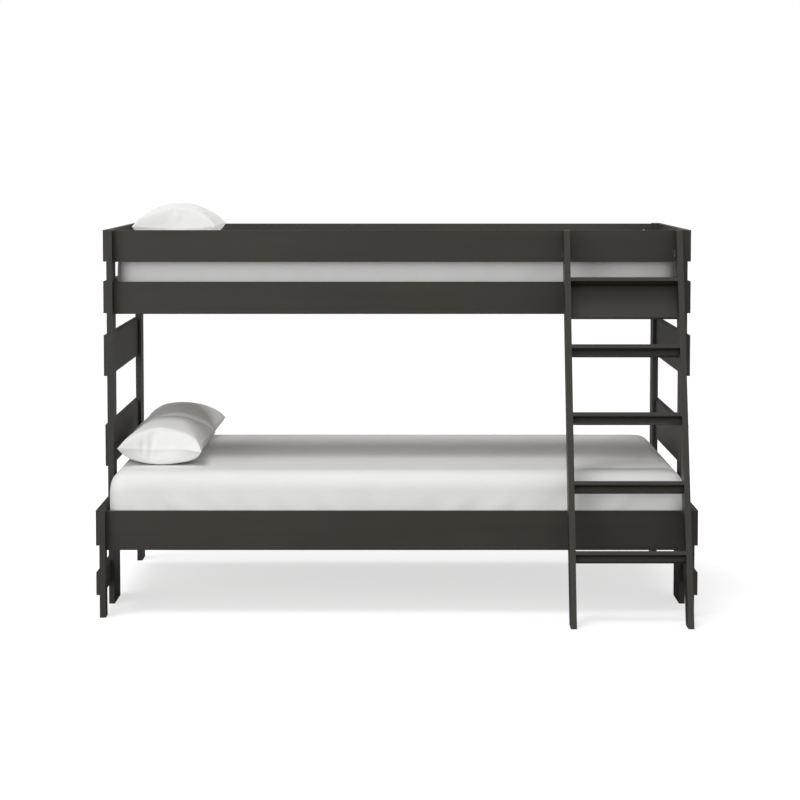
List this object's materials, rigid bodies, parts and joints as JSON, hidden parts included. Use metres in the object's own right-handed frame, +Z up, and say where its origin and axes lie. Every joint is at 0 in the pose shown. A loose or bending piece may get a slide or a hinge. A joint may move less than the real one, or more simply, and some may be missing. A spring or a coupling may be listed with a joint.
{
  "type": "bunk bed",
  "caption": "Low stacking bunk bed of painted planks, twin over full, with open end boards, guardrails, a leaning plank ladder, sheeted mattresses and pillows.",
  "frame": {"origin": "middle of the footprint of the whole bed with its ladder, at the floor", "axes": "+Z up, +X along the beds towards the end where the ladder stands, -Y towards the side that the ladder leans on"},
  "size_m": [2.024, 1.718, 1.3805],
  "materials": {
    "paint": "satin",
    "slat_wood": "matte",
    "steel": "satin",
    "felt": "matte",
    "linen": "matte"
  },
  "bodies": {
    "lower_bed": {"front_leg_left": "paint", "front_leg_right": "paint", "mid_post_left": "paint", "mid_post_right": "paint", "inner_leg_left": "paint", "inner_leg_right": "paint", "back_post_left": "paint", "back_post_right": "paint", "end_panel_left": "paint", "end_panel_right": "paint", "end_rail_left": "paint", "end_rail_right": "paint", "low_stretcher_left": "paint", "low_stretcher_right": "paint", "lower_side_rail_front": "paint", "lower_side_rail_back": "paint", "lower_cleats": "paint", "centre_beam": "paint", "beam_hangers": "steel", "lower_slats": "slat_wood", "stacking_pins": "steel", "lower_bolts": "steel", "lower_barrel_nuts": "steel", "lower_screws": "steel", "foot_pads": "felt"},
    "upper_bed": {"upper_front_post_left": "paint", "upper_front_post_right": "paint", "upper_back_post_left": "paint", "upper_back_post_right": "paint", "top_end_board_left": "paint", "top_end_board_right": "paint", "middle_end_board_left": "paint", "middle_end_board_right": "paint", "low_end_board_left": "paint", "low_end_board_right": "paint", "guardrail_front": "paint", "guardrail_back": "paint", "upper_side_rail_front": "paint", "upper_side_rail_back": "paint", "upper_cleats": "paint", "upper_slats": "slat_wood", "upper_bolts": "steel", "upper_barrel_nuts": "steel", "upper_screws": "steel", "ladder_receivers": "steel"},
    "ladder": {"ladder_rail_left": "paint", "ladder_rail_right": "paint", "ladder_rung_1": "paint", "ladder_rung_2": "paint", "ladder_rung_3": "paint", "ladder_rung_4": "paint", "ladder_rung_5": "paint", "ladder_cross_board": "paint", "ladder_tongues": "steel", "ladder_foot_pads": "felt"},
    "lower_mattress": {"lower_mattress": "linen"},
    "upper_mattress": {"upper_mattress": "linen"},
    "lower_pillow_front": {"lower_pillow_front": "linen"},
    "lower_pillow_back": {"lower_pillow_back": "linen"},
    "upper_pillow": {"upper_pillow": "linen"}
  },
  "joints": [
    {"name": "upper_bed_lift", "type": "slide", "parent": "lower_bed", "child": "upper_bed", "axis": [0, 0, 1], "range_m": [0, 0.09]},
    {"name": "ladder_lift", "type": "slide", "parent": "upper_bed", "child": "ladder", "axis": [0, 0, 1], "range_m": [0, 0.06]},
    {"name": "lower_mattress_lift", "type": "slide", "parent": "lower_bed", "child": "lower_mattress", "axis": [0, 0, 1], "range_m": [0, 0.06]},
    {"name": "upper_mattress_lift", "type": "slide", "parent": "upper_bed", "child": "upper_mattress", "axis": [0, 0, 1], "range_m": [0, 0.27]},
    {"name": "lower_pillow_front_lift", "type": "slide", "parent": "lower_mattress", "child": "lower_pillow_front", "axis": [0, 0, 1], "range_m": [0, 0.1]},
    {"name": "lower_pillow_back_lift", "type": "slide", "parent": "lower_mattress", "child": "lower_pillow_back", "axis": [0, 0, 1], "range_m": [0, 0.1]},
    {"name": "upper_pillow_lift", "type": "slide", "parent": "upper_mattress", "child": "upper_pillow", "axis": [0, 0, 1], "range_m": [0, 0.1]}
  ]
}
